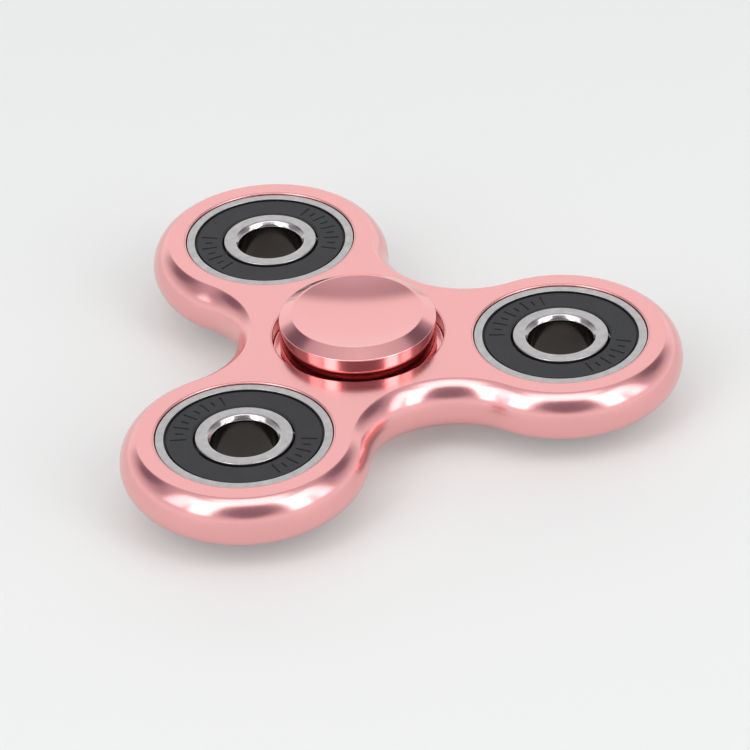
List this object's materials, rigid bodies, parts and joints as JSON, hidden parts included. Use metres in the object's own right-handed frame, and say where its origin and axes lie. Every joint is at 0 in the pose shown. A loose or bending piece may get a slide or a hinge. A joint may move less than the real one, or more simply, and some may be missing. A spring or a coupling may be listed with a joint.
{
  "type": "fidget spinner",
  "caption": "Three-lobed fidget spinner: pink anodised metal body with a steel weight bearing in each lobe, turning on a hub bearing between two dished finger caps.",
  "frame": {"origin": "on the spin axis, half way through the body's thickness", "axes": "+Z along the spin axis out of the top cap, +Y towards the back lobe, +X parallel to the line from the front lobe to the right lobe"},
  "size_m": [0.075, 0.069, 0.0136],
  "materials": {
    "pink_body": "satin pink anodised flats, brighter turned edge",
    "pink_cap": "bright turned pink anodised",
    "ring_steel": "ground bearing steel, faces satin, mouth polished",
    "ball_steel": "polished ball steel",
    "cage_brass": "pressed brass",
    "shield_steel": "thin pressed steel",
    "seal_rubber": "moulded charcoal rubber, matt"
  },
  "bodies": {
    "hub": {"top_cap": "pink_cap", "bottom_cap": "pink_cap", "hub_inner_ring": "ring_steel"},
    "rotor": {"frame": "pink_body", "hub_outer_ring": "ring_steel", "hub_top_shield": "shield_steel", "hub_bottom_shield": "shield_steel", "right_outer_ring": "ring_steel", "right_top_seal": "seal_rubber", "right_bottom_seal": "seal_rubber", "back_outer_ring": "ring_steel", "back_top_seal": "seal_rubber", "back_bottom_seal": "seal_rubber", "front_outer_ring": "ring_steel", "front_top_seal": "seal_rubber", "front_bottom_seal": "seal_rubber"},
    "hub_ball_set": {"hub_cage": "cage_brass", "hub_ball_1": "ball_steel", "hub_ball_2": "ball_steel", "hub_ball_3": "ball_steel", "hub_ball_4": "ball_steel", "hub_ball_5": "ball_steel", "hub_ball_6": "ball_steel", "hub_ball_7": "ball_steel", "hub_ball_8": "ball_steel", "hub_ball_9": "ball_steel", "hub_ball_10": "ball_steel"},
    "right_race": {"right_inner_ring": "ring_steel"},
    "right_ball_set": {"right_cage": "cage_brass", "right_ball_1": "ball_steel", "right_ball_2": "ball_steel", "right_ball_3": "ball_steel", "right_ball_4": "ball_steel", "right_ball_5": "ball_steel", "right_ball_6": "ball_steel", "right_ball_7": "ball_steel"},
    "back_race": {"back_inner_ring": "ring_steel"},
    "back_ball_set": {"back_cage": "cage_brass", "back_ball_1": "ball_steel", "back_ball_2": "ball_steel", "back_ball_3": "ball_steel", "back_ball_4": "ball_steel", "back_ball_5": "ball_steel", "back_ball_6": "ball_steel", "back_ball_7": "ball_steel"},
    "front_race": {"front_inner_ring": "ring_steel"},
    "front_ball_set": {"front_cage": "cage_brass", "front_ball_1": "ball_steel", "front_ball_2": "ball_steel", "front_ball_3": "ball_steel", "front_ball_4": "ball_steel", "front_ball_5": "ball_steel", "front_ball_6": "ball_steel", "front_ball_7": "ball_steel"}
  },
  "joints": [
    {"name": "rotor_spin", "type": "hinge", "parent": "hub", "child": "rotor", "pos_m": [0, 0, 0], "axis": [0, 0, 1], "continuous": true},
    {"name": "hub_ball_set_spin", "type": "hinge", "parent": "hub", "child": "hub_ball_set", "pos_m": [0, 0, 0], "axis": [0, 0, 1], "continuous": true},
    {"name": "right_race_spin", "type": "hinge", "parent": "rotor", "child": "right_race", "pos_m": [0.02208, -0.01275, -0.0002], "axis": [0, 0, 1], "continuous": true},
    {"name": "right_ball_set_spin", "type": "hinge", "parent": "rotor", "child": "right_ball_set", "pos_m": [0.02208, -0.01275, -0.0002], "axis": [0, 0, 1], "continuous": true},
    {"name": "back_race_spin", "type": "hinge", "parent": "rotor", "child": "back_race", "pos_m": [0, 0.0255, -0.0002], "axis": [0, 0, 1], "continuous": true},
    {"name": "back_ball_set_spin", "type": "hinge", "parent": "rotor", "child": "back_ball_set", "pos_m": [0, 0.0255, -0.0002], "axis": [0, 0, 1], "continuous": true},
    {"name": "front_race_spin", "type": "hinge", "parent": "rotor", "child": "front_race", "pos_m": [-0.02208, -0.01275, -0.0002], "axis": [0, 0, 1], "continuous": true},
    {"name": "front_ball_set_spin", "type": "hinge", "parent": "rotor", "child": "front_ball_set", "pos_m": [-0.02208, -0.01275, -0.0002], "axis": [0, 0, 1], "continuous": true}
  ],
  "couplings": [
    {"joint": "hub_ball_set_spin", "follows": "rotor_spin", "ratio": 0.625},
    {"joint": "right_ball_set_spin", "follows": "right_race_spin", "ratio": 0.3677},
    {"joint": "back_ball_set_spin", "follows": "back_race_spin", "ratio": 0.3677},
    {"joint": "front_ball_set_spin", "follows": "front_race_spin", "ratio": 0.3677}
  ]
}
